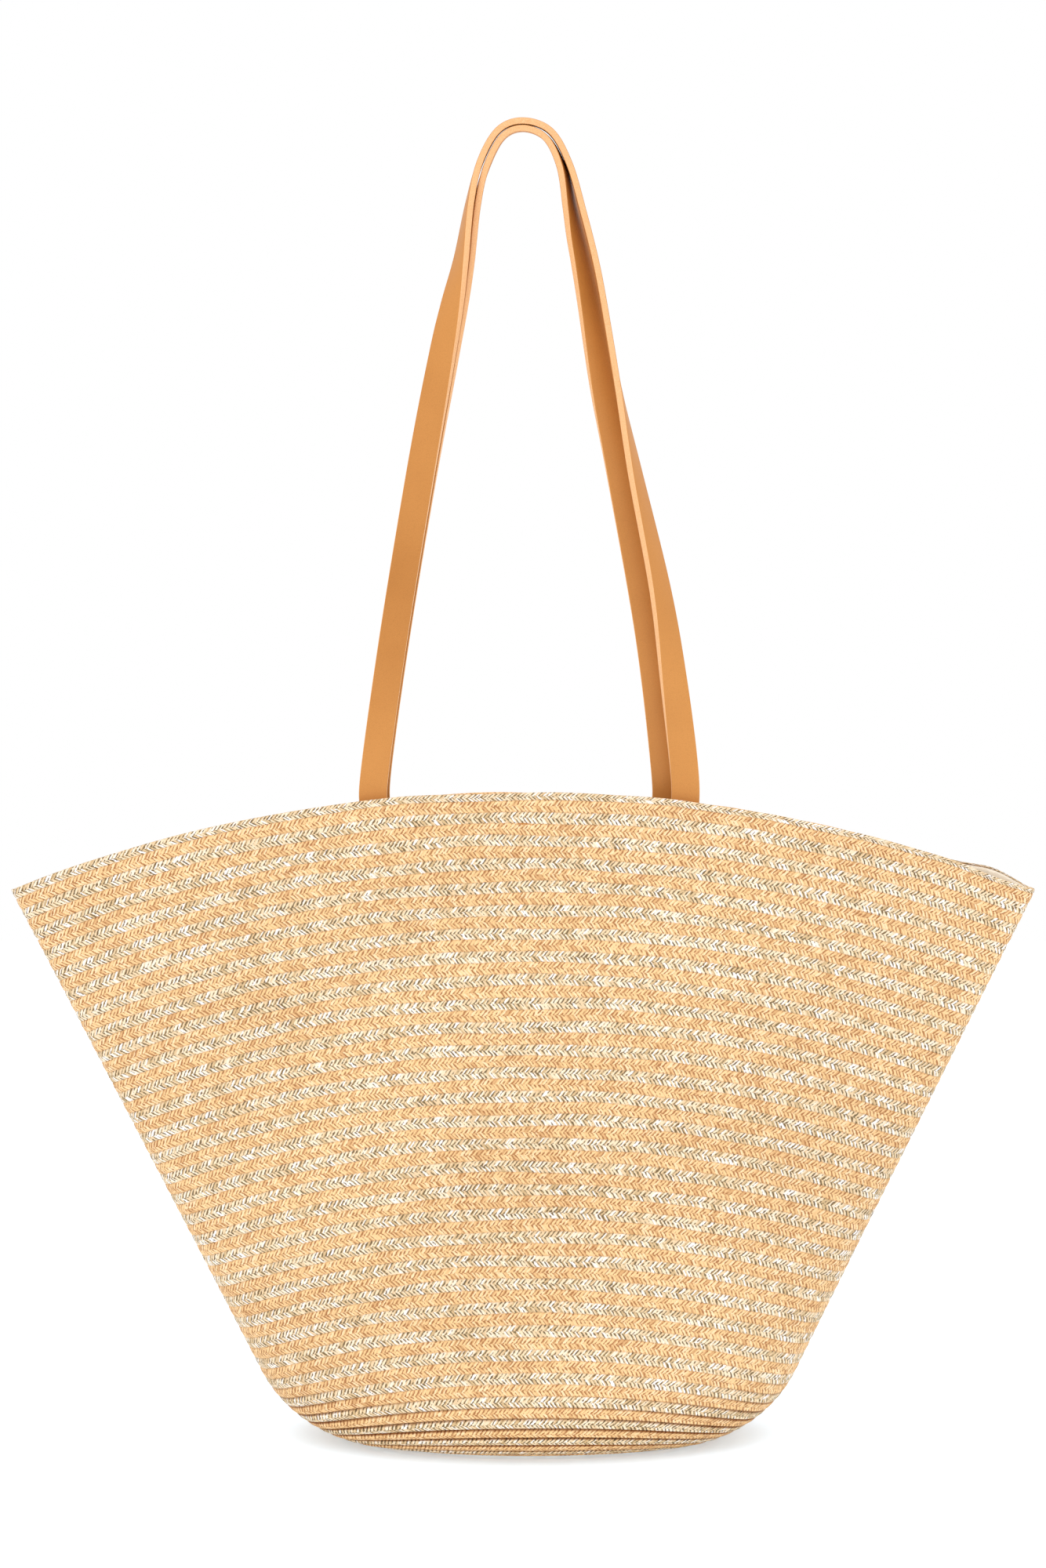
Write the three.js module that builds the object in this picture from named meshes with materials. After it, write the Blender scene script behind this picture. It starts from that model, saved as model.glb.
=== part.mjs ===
// A coiled straw beach bag with two leather shoulder straps, in millimetres.
// Two narrow braids, one tan and one light, are sewn side by side into one double spiral that
// starts on the centre line of the oval base and climbs to the rim. Inside hang a cotton lining,
// a slip pocket, a magnetic snap and the sewn ends of the straps.
// +Z is up, +X is to the right seen from the front, and the front faces -Y.
// The origin is on the ground, under the middle of the bag.

import * as THREE from "three";

// ---- driving dimensions ----

const BASE_HALF_DEPTH = 42; // of the part of the base that lies flat
const BASE_HALF_WIDTH = 86;
const BELLY_RADIUS = 30; // rounding from the base up to the front and back walls
const SIDE_RADIUS = 66; // the wider rounding at the two ends
const RIM_HEIGHT = 351.5; // at the middle of the front
const RIM_HALF_DEPTH = 9;
const RIM_SIDE_HEIGHT = 298; // at the two points of the mouth
const RIM_HALF_WIDTH = 274;
const RIM_DIP_POWER = 2.2; // how the rim falls from the middle to the points
const MOUTH_BULGE = 9; // how much the mouth opens on each side of the snap
const BULGE_ROWS = 22; // rows below the rim over which that bulge grows
const LOW_FOLD_RADIUS = 12; // side fold of the wall near the base
const RIM_FOLD_RADIUS = 5; // and at the rim
const TIGHTEST_FOLD = 0.6;
const ROUND_POWER = 1; // plan of the base: an oval
const LENS_POWER = 1.5; // plan of the mouth: a lens
const LIP_DROP = 1.2; // the front rim sags beside its right point
const CORNER_RISE = 3.5; // and the back rim rises there
const LIP_AT = 252;
const LIP_WIDTH = 15;
const LIP_ROWS = 5;
const BACK_DIP = 0.26; // the back rim is this share of its depth lower than the front rim
const BACK_DIP_ROWS = 4;

const ROWS_UP_FRONT = 67.64; // from the base's centre line to the rim
const BASE_SHIFT = 4.2; // to the right, by which the soft bag leans over its base
// Each braid is made in lengths, and each length ends after this many turns of the spiral.
const LENGTHS = [
  ["base", 3.5],
  ["bowl", 7.5],
  ["belly", 11.5],
  ["lower", 15.5],
  ["middle", 20.5],
  ["upper", 25.5],
  ["high", 30.5],
  ["rim", 36],
];
const WALL_STARTS_AT = 15; // rows, where the rounding up from the base ends
const JOIN_GAP = 0.6;
const ROW_GAP = 0.3;
const BRAID_THICKNESS = 2.6;
const BACK_CLIMB = 0.6; // the spiral climbs mostly across the back
const THINNEST_ROW = 0.15; // where a tapered braid end stops, in rows
const QUARTER_STEPS = 5;
const CORNER_EASE = 1.25; // crowds the steps of a turn towards the side folds

const LINING_INSET = 3.4;
const LINING_THICKNESS = 0.8;
const LINING_BELOW_RIM = 0.6; // rows
const LINING_STEP = 5; // rows between its rings on the wall
const THREAD = 0.4;
const SEAM_BELOW_RIM = 1.6; // rows

const POCKET_INSET = 5.6;
const POCKET_ROWS = [38, 57];
const POCKET_HALF_WIDTH = 75;

const STRAP_WIDTH = 15;
const STRAP_THICKNESS = 3.3;
const STRAP_TOP = 706;
const STRAP_DEPTH = 5.9; // from the bag's middle plane to each strap, at the rim
const FOLD_HEIGHT = 360; // where a strap folds over the rim
const FOLD_GAP = 0.5; // on each side of the fold
const CLOSE_POWER = 0.4; // how the straps part below the height where they meet
const CLOSE_HEIGHT = 681; // the two straps meet on the middle plane from here up
const SEWN_ROWS = 8; // length of a sewn strap end below the rim
const LOOP_STEPS = 64;

const STITCH_BOX = { width: 10.5, height: 26, line: 1, depth: 0.45 };

const SNAP_HEIGHT = 325;
const SNAP_RADIUS = 9;
const SNAP_PATCH = { radius: 11.5, depth: 1.2 };
const SNAP_SOCKET = { depth: 2.6, hole: 3.1 };
const SNAP_STUD = { depth: 1.8, post: 2.6, reach: 1.8 };

// ---- the wall's shape ----

const radians = (degrees) => (degrees * Math.PI) / 180;
const mix = (a, b, share) => a + (b - a) * share;
const clamp = (value) => Math.min(Math.max(value, 0), 1);
const smooth = (share) => share * share * (3 - 2 * share);

// A path that runs flat, turns up round an arc and goes straight on to its end.
// at() gives its point at a distance along it, moved inwards by the inset.
function risingPath(flat, radius, end) {
  const out = end.out - flat;
  const up = end.up - radius;
  const reach = Math.hypot(out, up);
  const turn = Math.atan2(up, out) + Math.asin(radius / reach);
  const arc = radius * turn;
  const straight = Math.sqrt(reach * reach - radius * radius);
  const at = (distance, inset) => {
    const angle = Math.min(Math.max(distance - flat, 0) / radius, turn);
    const beyond = Math.max(distance - flat - arc, 0);
    const size = radius - inset;
    return {
      out: Math.min(distance, flat) + size * Math.sin(angle) + beyond * Math.cos(angle),
      up: radius - size * Math.cos(angle) + beyond * Math.sin(angle),
    };
  };
  return { length: flat + arc + straight, at };
}

const frontPath = risingPath(BASE_HALF_DEPTH, BELLY_RADIUS, { out: RIM_HALF_DEPTH, up: RIM_HEIGHT });
const sidePath = risingPath(BASE_HALF_WIDTH, SIDE_RADIUS, { out: RIM_HALF_WIDTH, up: RIM_SIDE_HEIGHT });
const ROW = frontPath.length / ROWS_UP_FRONT;
const CENTRE_LINE_HALF = sidePath.length - frontPath.length;

// The point of the wall at a row (0 on the base's centre line) and an angle round the bag:
// 0 is the middle of the front, a quarter turn is the right fold.
function wallPoint(row, angle, inset = 0) {
  const front = frontPath.at(row * ROW, inset);
  const side = sidePath.at(CENTRE_LINE_HALF + row * ROW, inset);
  const climb = clamp((row - WALL_STARTS_AT) / (ROWS_UP_FRONT - WALL_STARTS_AT));
  const across = Math.sin(angle);
  const facing = Math.cos(angle);
  const foldRadius = Math.max(mix(LOW_FOLD_RADIUS, RIM_FOLD_RADIUS, climb) - inset, TIGHTEST_FOLD);
  const fold = Math.min(foldRadius, front.out);
  const fromFold = Math.min((side.out * (1 - Math.abs(across))) / fold, 1);
  const bulge = MOUTH_BULGE * smooth(clamp(1 - (ROWS_UP_FRONT - row) / BULGE_ROWS));
  const depth =
    fold * Math.sqrt(1 - (1 - fromFold) ** 2) +
    (front.out - fold) * Math.abs(facing) ** mix(ROUND_POWER, LENS_POWER, climb) +
    bulge * 6.75 * across ** 2 * facing ** 4;
  const x = side.out * across + BASE_SHIFT * (1 - clamp(row / ROWS_UP_FRONT));
  const dip = 1 - Math.abs(across) ** RIM_DIP_POWER;
  const below = ROWS_UP_FRONT - row;
  const corner = clamp(1 - below / LIP_ROWS) * Math.exp(-(((x - LIP_AT) / LIP_WIDTH) ** 2));
  const drop =
    facing > 0
      ? LIP_DROP * corner
      : BACK_DIP * depth * clamp(1 - below / BACK_DIP_ROWS) - CORNER_RISE * corner;
  return new THREE.Vector3(x, -Math.sign(facing) * depth, mix(side.up, front.up, dip) - drop);
}

// The same, at a distance across the bag instead of an angle, on the front (-1) or the back (1).
// The distance is taken before the base's shift.
function wallPointAcross(row, x, face, inset) {
  const side = sidePath.at(CENTRE_LINE_HALF + row * ROW, inset);
  const angle = Math.asin(x / side.out);
  return wallPoint(row, face < 0 ? angle : Math.PI - angle, inset);
}

// ---- solids ----

// A closed solid through sections that have the same number of points each. It ends in flat
// caps, or runs back into its first section. Its quads are split so that the two sides of a
// braid bend alike, and neighbouring rows keep their gap.
function sweep(sections, loops = false) {
  const sides = sections[0].length;
  const corners = sections.flat();
  const faces = [];
  const steps = loops ? sections.length : sections.length - 1;
  for (let i = 0; i < steps; i++) {
    const here = i * sides;
    const next = ((i + 1) % sections.length) * sides;
    for (let j = 0; j < sides; j++) {
      const k = (j + 1) % sides;
      if (2 * j < sides) {
        faces.push([here + j, here + k, next + k], [here + j, next + k, next + j]);
      } else {
        faces.push([here + j, here + k, next + j], [here + k, next + k, next + j]);
      }
    }
  }
  if (!loops) {
    const last = corners.length - sides;
    for (let j = 1; j < sides - 1; j++) {
      faces.push([0, j + 1, j], [last, last + j, last + j + 1]);
    }
  }
  return facingOut(corners, faces);
}

function facingOut(corners, faces) {
  const six = faces.reduce(
    (sum, [a, b, c]) => sum + corners[a].dot(corners[b].clone().cross(corners[c])),
    0,
  );
  const turned = six < 0 ? faces.map(([a, b, c]) => [a, c, b]) : faces;
  const geometry = new THREE.BufferGeometry();
  geometry.setAttribute(
    "position",
    new THREE.Float32BufferAttribute(corners.flatMap((p) => [p.x, p.y, p.z]), 3),
  );
  geometry.setIndex(turned.flat());
  geometry.computeVertexNormals();
  return geometry;
}

const bag = new THREE.Group();

function add(name, geometry, material, group = bag) {
  const mesh = new THREE.Mesh(geometry, new THREE.MeshStandardMaterial(material));
  mesh.name = name;
  group.add(mesh);
  return mesh;
}

const TAN_STRAW = { color: 0xefc088, roughness: 0.85, metalness: 0 };
const LIGHT_STRAW = { color: 0xf0dcbc, roughness: 0.7, metalness: 0.1 };
const COTTON = { color: 0xf3ead8, roughness: 0.95, metalness: 0 };
const LEATHER = { color: 0xd9975a, roughness: 0.55, metalness: 0 };
const THREAD_LOOK = { color: 0xc98a4c, roughness: 0.8, metalness: 0 };
const GOLD = { color: 0xd8b777, roughness: 0.3, metalness: 1 };

// ---- braids ----

// Angle round the bag at each step of a turn, crowded towards the two side folds.
function stepAngle(step) {
  const quarter = Math.floor(step / QUARTER_STEPS);
  const share = step / QUARTER_STEPS - quarter;
  const toFold = quarter % 2 === 0;
  const eased = toFold ? 1 - (1 - share) ** CORNER_EASE : share ** CORNER_EASE;
  return (quarter + eased) * (Math.PI / 2);
}

// Rows climbed by the double spiral at an angle: two rows in each turn.
function spiralRow(angle) {
  return (angle - BACK_CLIMB * Math.sin(angle)) / Math.PI;
}

// The braid's four corners at an angle, or null where the braid has no width.
function braidSection(angle, startRow) {
  const half = ROW_GAP / ROW / 2;
  const low = Math.max(spiralRow(angle) + startRow, 0) + half;
  const high = Math.min(spiralRow(angle) + startRow + 1, ROWS_UP_FRONT) - half;
  if (high - low < THINNEST_ROW) return null;
  return [
    wallPoint(low, angle),
    wallPoint(high, angle),
    wallPoint(high, angle, BRAID_THICKNESS),
    wallPoint(low, angle, BRAID_THICKNESS),
  ];
}

const TURN_STEPS = 4 * QUARTER_STEPS;

// One length of braid. It starts a small gap after the end of the one before.
function braid(startRow, fromTurn, toTurn) {
  const sections = [];
  for (let step = fromTurn * TURN_STEPS; step <= toTurn * TURN_STEPS; step++) {
    let angle = stepAngle(step);
    const atJoin = step === fromTurn * TURN_STEPS && fromTurn > 0;
    if (atJoin) angle += JOIN_GAP / wallPoint(spiralRow(angle), Math.PI / 2).x;
    const section = braidSection(angle, startRow);
    if (section) sections.push(section);
  }
  return sweep(sections);
}

for (const [name, startRow, look] of [
  ["tan_braid", 0, TAN_STRAW],
  ["light_braid", 1, LIGHT_STRAW],
]) {
  let fromTurn = -1;
  for (const [place, toTurn] of LENGTHS) {
    add(place + "_" + name, braid(startRow, fromTurn, toTurn), look);
    fromTurn = toTurn;
  }
}

// ---- lining, its seam and the slip pocket ----

function ringAt(row, inset) {
  return Array.from({ length: TURN_STEPS }, (_, step) => wallPoint(row, stepAngle(step), inset));
}

function lining() {
  const top = ROWS_UP_FRONT - LINING_BELOW_RIM;
  const rows = [1.5, 4, 7, 8.5, 10, 11.5, 13, 14.5, 16, 18, 20, 22.5];
  for (let row = 25; row < top - 2; row += LINING_STEP) rows.push(row);
  rows.push(ROWS_UP_FRONT - SEAM_BELOW_RIM, top);
  const outer = rows.map((row) => ringAt(row, LINING_INSET));
  const inner = rows.map((row) => ringAt(row, LINING_INSET + LINING_THICKNESS));
  return sweep([...outer, ...inner.reverse()]);
}

function seam() {
  const row = ROWS_UP_FRONT - SEAM_BELOW_RIM;
  const half = THREAD / ROW / 2;
  const near = LINING_INSET + LINING_THICKNESS + 0.15;
  const section = (angle) => [
    wallPoint(row - half, angle, near),
    wallPoint(row + half, angle, near),
    wallPoint(row + half, angle, near + THREAD),
    wallPoint(row - half, angle, near + THREAD),
  ];
  const sections = Array.from({ length: TURN_STEPS }, (_, step) => section(stepAngle(step)));
  return sweep(sections, true);
}

function pocket() {
  const [low, high] = POCKET_ROWS;
  const rows = [0, 1, 2, 3].map((step) => mix(low, high, step / 3));
  const section = (x) => [
    ...rows.map((row) => wallPointAcross(row, x, 1, POCKET_INSET)),
    ...rows.map((row) => wallPointAcross(row, x, 1, POCKET_INSET + LINING_THICKNESS)).reverse(),
  ];
  const steps = 10;
  const across = (step) => mix(-POCKET_HALF_WIDTH, POCKET_HALF_WIDTH, step / steps);
  return sweep(Array.from({ length: steps + 1 }, (_, step) => section(across(step))));
}

add("lining", lining(), COTTON);
add("lining_seam", seam(), THREAD_LOOK);
add("slip_pocket", pocket(), COTTON);

// ---- straps ----

// Each loop from its left fold over the top to its right fold: across, height, and the twist
// in degrees of its outer face from facing forwards (0) to facing away from the loop (90).
const FRONT_LOOP = [
  [-79, FOLD_HEIGHT + FOLD_GAP, 0],
  [-68.6, 434, 0],
  [-54, 521, 8],
  [-42.4, 583, 30],
  [-37.4, 608, 46],
  [-32.6, 632, 68],
  [-27.9, 662, 84],
  [-22.5, 683, 90],
  [-13, 699.5, 90],
  [0, STRAP_TOP - STRAP_THICKNESS / 2, 90],
  [14.5, 699, 90],
  [24.3, 682, 90],
  [31.6, 657, 90],
  [38, 632, 90],
  [42.7, 608, 90],
  [50.2, 565, 88],
  [59.1, 521, 70],
  [72.6, 459, 50],
  [80, 410, 26],
  [86, FOLD_HEIGHT + FOLD_GAP, 0],
];
const BACK_LOOP = [
  [-78, FOLD_HEIGHT + FOLD_GAP, 0],
  [-67.6, 434, 0],
  [-52.8, 521, 8],
  [-40.6, 583, 30],
  [-35, 608, 46],
  [-29.4, 632, 68],
  [-24.5, 660, 84],
  [-19.3, 680, 90],
  [-10.9, 695.9, 90],
  [0, STRAP_TOP - STRAP_THICKNESS / 2 - 3.8, 90],
  [12, 695.6, 88],
  [20, 681, 82],
  [24.8, 660, 68],
  [28, 645, 56],
  [31.3, 630, 48],
  [35.5, 608, 38],
  [42.8, 565, 21],
  [51.6, 521, 6],
  [67.2, 434, 0],
  [76, FOLD_HEIGHT + FOLD_GAP, 0],
];
const STRAPS = [
  { side: "front", face: -1, loop: FRONT_LOOP },
  { side: "back", face: 1, loop: BACK_LOOP },
];

// A flat band through points, each with the direction that its outer face looks in.
function band(stations) {
  const section = ({ point, along, outwards }) => {
    const width = along.clone().cross(outwards).normalize().multiplyScalar(STRAP_WIDTH / 2);
    const depth = outwards.clone().multiplyScalar(STRAP_THICKNESS / 2);
    return [
      [-1, -1],
      [1, -1],
      [1, 1],
      [-1, 1],
    ].map(([w, d]) => point.clone().addScaledVector(width, w).addScaledVector(depth, d));
  };
  return sweep(stations.map(section));
}

function strapLoop({ face, loop }) {
  const depthAt = (height) => {
    const apart = clamp((CLOSE_HEIGHT - height) / (CLOSE_HEIGHT - FOLD_HEIGHT));
    return face * STRAP_DEPTH * apart ** CLOSE_POWER;
  };
  const places = loop.map(([x, z]) => new THREE.Vector3(x, depthAt(z), z));
  const route = new THREE.CatmullRomCurve3(places, false, "catmullrom");
  const twists = new THREE.CatmullRomCurve3(
    loop.map(([, , twist]) => new THREE.Vector3(twist, 0, 0)),
    false,
    "catmullrom",
  );
  const stations = [];
  for (let step = 0; step <= LOOP_STEPS; step++) {
    const share = step / LOOP_STEPS;
    const atEnd = step === 0 || step === LOOP_STEPS;
    const tangent = route.getTangent(share);
    const upright = new THREE.Vector3(0, 0, Math.sign(tangent.z));
    const along = atEnd ? upright : tangent;
    const twist = radians(twists.getPoint(share).x);
    const away = new THREE.Vector3(-along.z, 0, along.x).normalize();
    const outwards = new THREE.Vector3(0, -Math.cos(twist), 0)
      .addScaledVector(away, Math.sin(twist))
      .addScaledVector(along, along.y * Math.cos(twist))
      .normalize();
    stations.push({ point: route.getPoint(share), along, outwards });
  }
  return band(stations);
}

// The end of a strap that is sewn inside the bag, up to just below the fold.
function strapEnd(x, face) {
  const inset = wallPointAcross(ROWS_UP_FRONT, x, face, 0).y * face - STRAP_DEPTH;
  const rows = [SEWN_ROWS, SEWN_ROWS / 2, 1].map((below) => ROWS_UP_FRONT - below);
  const points = rows.map((row) => wallPointAcross(row, x, face, inset));
  points.push(new THREE.Vector3(x, face * STRAP_DEPTH, FOLD_HEIGHT - FOLD_GAP));
  points.forEach((point) => point.setX(x));
  const stations = points.map((point, i) => {
    const along = points[Math.min(i + 1, points.length - 1)].clone().sub(points[Math.max(i - 1, 0)]);
    if (i === points.length - 1) along.set(0, 0, 1);
    along.normalize();
    return { point, along, outwards: new THREE.Vector3(0, -along.z, along.y) };
  });
  return { geometry: band(stations), low: points[0], high: points[2] };
}

// A sewn box with a cross in it, standing on its own plane.
function stitchBox() {
  const { width, height, line, depth } = STITCH_BOX;
  const w = width / 2;
  const h = height / 2;
  const box = new THREE.Shape(
    [
      [-w, -h],
      [w, -h],
      [w, h],
      [-w, h],
    ].map(([x, y]) => new THREE.Vector2(x, y)),
  );
  const slope = Math.hypot(w, h);
  const shortGap = (line * slope) / h / 2 + line;
  const longGap = (line * slope) / w / 2 + line;
  for (const sign of [-1, 1]) {
    box.holes.push(
      new THREE.Path([
        new THREE.Vector2(sign * (w - line), (h - longGap) * 0.97),
        new THREE.Vector2(sign * (w - line), -(h - longGap) * 0.97),
        new THREE.Vector2(sign * line * 0.9, 0),
      ]),
      new THREE.Path([
        new THREE.Vector2(w - shortGap, sign * (h - line)),
        new THREE.Vector2(-(w - shortGap), sign * (h - line)),
        new THREE.Vector2(0, sign * line * 2.2),
      ]),
    );
  }
  return new THREE.ExtrudeGeometry(box, { depth, bevelEnabled: false });
}

for (const strap of STRAPS) {
  add(strap.side + "_strap", strapLoop(strap), LEATHER);
  const ends = [
    ["left", strap.loop[0][0]],
    ["right", strap.loop.at(-1)[0]],
  ];
  for (const [hand, x] of ends) {
    const end = strapEnd(x, strap.face);
    add(`${strap.side}_${hand}_strap_end`, end.geometry, LEATHER);
    const stitch = add(`${strap.side}_${hand}_stitching`, stitchBox(), THREAD_LOOK);
    const up = end.high.clone().sub(end.low).normalize();
    const inwards = new THREE.Vector3(0, -strap.face * up.z, strap.face * up.y);
    const across = up.clone().cross(inwards);
    stitch.setRotationFromMatrix(new THREE.Matrix4().makeBasis(across, up, inwards));
    stitch.position
      .copy(end.low)
      .lerp(end.high, 0.5)
      .addScaledVector(inwards, STRAP_THICKNESS / 2 + 0.3);
  }
}

// ---- magnetic snap ----

function disc(radius, depth, hole = 0) {
  const outline = new THREE.Shape().absarc(0, 0, radius, 0, Math.PI * 2);
  if (hole) outline.holes.push(new THREE.Path().absarc(0, 0, hole, 0, Math.PI * 2, true));
  return new THREE.ExtrudeGeometry(outline, { depth, bevelEnabled: false, curveSegments: 20 });
}

function stud() {
  const { depth, post, reach } = SNAP_STUD;
  const outline = [
    [0, 0],
    [SNAP_RADIUS, 0],
    [SNAP_RADIUS, depth],
    [post, depth],
    [post, depth + reach],
    [0, depth + reach],
  ];
  const turned = new THREE.LatheGeometry(outline.map(([r, y]) => new THREE.Vector2(r, y)), 24);
  return turned.rotateX(Math.PI / 2);
}

for (const { side, face } of STRAPS) {
  const half = new THREE.Group();
  const rowAtSnap = ROWS_UP_FRONT - (RIM_HEIGHT - SNAP_HEIGHT) / ROW;
  const inset = LINING_INSET + LINING_THICKNESS + 0.3;
  const low = wallPointAcross(rowAtSnap - 1, 0, face, inset);
  const high = wallPointAcross(rowAtSnap + 1, 0, face, inset);
  const up = high.clone().sub(low).normalize();
  const inwards = new THREE.Vector3(0, -face * up.z, face * up.y);
  half.position.copy(low).lerp(high, 0.5);
  half.setRotationFromMatrix(new THREE.Matrix4().makeBasis(up.clone().cross(inwards), up, inwards));
  bag.add(half);
  add(side + "_snap_patch", disc(SNAP_PATCH.radius, SNAP_PATCH.depth), LEATHER, half);
  const snap =
    face < 0
      ? add("snap_socket", disc(SNAP_RADIUS, SNAP_SOCKET.depth, SNAP_SOCKET.hole), GOLD, half)
      : add("snap_stud", stud(), GOLD, half);
  snap.position.z = SNAP_PATCH.depth + 0.3;
}

export default bag;
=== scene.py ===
"""A coiled straw beach bag with leather shoulder straps, on a pale floor.

Two braids, one tan and one light, run side by side in one double spiral from the base to the
rim. Working units are millimetres; every mesh is stored in metres.
"""

import math

import bmesh
import bpy
import numpy as np
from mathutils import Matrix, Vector


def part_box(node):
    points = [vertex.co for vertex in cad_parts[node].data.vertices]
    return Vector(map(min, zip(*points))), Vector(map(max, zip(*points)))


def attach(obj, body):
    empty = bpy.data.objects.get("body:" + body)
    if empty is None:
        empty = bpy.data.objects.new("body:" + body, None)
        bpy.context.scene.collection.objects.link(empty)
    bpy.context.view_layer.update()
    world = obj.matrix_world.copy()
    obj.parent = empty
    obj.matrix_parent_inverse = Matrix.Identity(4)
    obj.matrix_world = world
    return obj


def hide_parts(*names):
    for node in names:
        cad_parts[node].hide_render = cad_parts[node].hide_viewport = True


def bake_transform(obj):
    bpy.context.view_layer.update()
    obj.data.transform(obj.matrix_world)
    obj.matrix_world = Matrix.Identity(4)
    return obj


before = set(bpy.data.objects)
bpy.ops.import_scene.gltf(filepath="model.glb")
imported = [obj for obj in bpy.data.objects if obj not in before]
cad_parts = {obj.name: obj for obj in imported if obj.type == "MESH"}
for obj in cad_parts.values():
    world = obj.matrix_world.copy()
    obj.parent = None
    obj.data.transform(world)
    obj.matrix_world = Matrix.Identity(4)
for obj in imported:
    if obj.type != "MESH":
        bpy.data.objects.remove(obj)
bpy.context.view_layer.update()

MM = 0.001
TURN = 2 * math.pi


# ---- the bag's shape, as in the CAD model ----

BASE_HALF_DEPTH = 42.0
BASE_HALF_WIDTH = 86.0
BELLY_RADIUS = 30.0
SIDE_RADIUS = 66.0
RIM_HEIGHT = 351.5
RIM_HALF_DEPTH = 9.0
RIM_SIDE_HEIGHT = 298.0
RIM_HALF_WIDTH = 274.0
RIM_DIP_POWER = 2.2
MOUTH_BULGE = 9.0
BULGE_ROWS = 22
BULGE_TO_ONE = 27 / 4  # one over the peak of sin squared times cos to the fourth
LOW_FOLD_RADIUS = 12.0
RIM_FOLD_RADIUS = 5.0
TIGHTEST_FOLD = 0.6
ROUND_POWER = 1.0
LENS_POWER = 1.5
LIP_DROP = 1.2  # the front rim sags beside its right point
LIP_AT = 252.0
LIP_WIDTH = 15.0
LIP_ROWS = 5
CORNER_RISE = 3.5  # and the back rim rises there
BACK_DIP = 0.26
BACK_DIP_ROWS = 4
ROWS_UP_FRONT = 67.64
BASE_SHIFT = 4.2  # to the right, by which the soft bag leans over its base
WALL_STARTS_AT = 15  # rows
BACK_CLIMB = 0.6  # the spiral climbs slowly in front and fast behind

# Slow waves of the soft wall, and rows that aren't sewn quite level. Each wave has its size, its
# reach across and up, and its phase.
SAG_WAVES = [(0.9, 41, 67, 0.8), (0.7, 27, -38, 2.1), (0.5, 17, 90, 4.0)]
WAVER_WAVES = [(0.35, 23, 9, 0.0), (0.25, 11, -7, 1.3)]
WAVER_GROWTH = 6  # the waver is full after one such part of the climb
FRONT_TO_BACK = 300  # shifts the waver, so that the back isn't a copy of the front

BRAID_TURNS = 36  # more than either braid needs to reach the rim
SAMPLES_PER_TURN = 400
# Each length of braid ends after this many turns.
LENGTHS = [
    ("base", 3.5),
    ("bowl", 7.5),
    ("belly", 11.5),
    ("lower", 15.5),
    ("middle", 20.5),
    ("upper", 25.5),
    ("high", 30.5),
    ("rim", float(BRAID_TURNS)),
]
THINNEST_ROW = 0.12  # rows; a braid's tapered ends stop here

PLAIT_PITCH = 2.2  # along a braid, from strand to strand
STEPS_PER_STRAND = 3
PLAIT_RELIEF = 0.3
STRAWS_PER_STRAND = 2
CHEVRON_LEAN = 1.1  # strands by which a chevron's edge trails its middle
# A row's section, from its back round the front: place across the row, and depth.
ROW_SECTION = [
    (0.12, 2.5),
    (-0.02, 1.1),
    (0.05, 0.5),
    (0.16, 0.18),
    (0.34, 0.05),
    (0.50, 0.0),
    (0.66, 0.05),
    (0.84, 0.18),
    (0.95, 0.5),
    (1.02, 1.1),
    (0.88, 2.5),
]
DEEP_CREASE_ROWS = (12, 17)  # rows are rounder below the first of these than above the second
LOW_ROW_ROUNDING = 1.8
HIGH_ROW_ROUNDING = 0.55
BACK_OF_ROW = 2.0  # the section's points deeper than this are its flat back
RELIEF_ENDS = 1.7  # depth at which the plait's relief has died away

THREAD_PITCH = 0.9  # of the cotton's weave
LINING_INSET = 3.4
LINING_THICKNESS = 0.8
LINING_BELOW_RIM = 0.25  # rows
LINING_HEM = 0.35  # extra thickness of the top edge
WRINKLE_DEPTH = 0.28
RING_POINTS = 240
CROWDING = 0.16  # draws the lining's points together at the folds and the middles
SEAM_BELOW_RIM = 1.6  # rows
SEAM_PITCH = 4.2
SEAM_STITCH = 3.1
SEAM_PROUD = 0.35  # of the lining
SEAM_RADIUS = 0.28
SEAM_SAMPLES = 4000
POCKET_INSET = 5.6
POCKET_ROWS = (38, 57)
POCKET_HALF_WIDTH = 75.0
POCKET_SLACK = 1.1
POCKET_HEM = 0.5

STRAP_WIDTH = 15.0
STRAP_THICKNESS = 3.45
STRAP_CORNER = 0.7  # rounding of its section
STRAP_SAMPLES = 520
STRAP_DEPTH = 5.9
FOLD_HEIGHT = 360.0
CLOSE_HEIGHT = 681.0  # where the straps meet
CLOSE_POWER = 0.4  # how they part below it
SEWN_ROWS = 8
BOX_STITCH_PITCH = 3.0
BOX_STITCH_ENDS = (0.12, 0.88)  # shares of the pitch that a stitch spans
BOX_STITCH_RADIUS = 0.3
STITCHING_THICKNESS = 0.45  # of the CAD model's stitching
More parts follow.
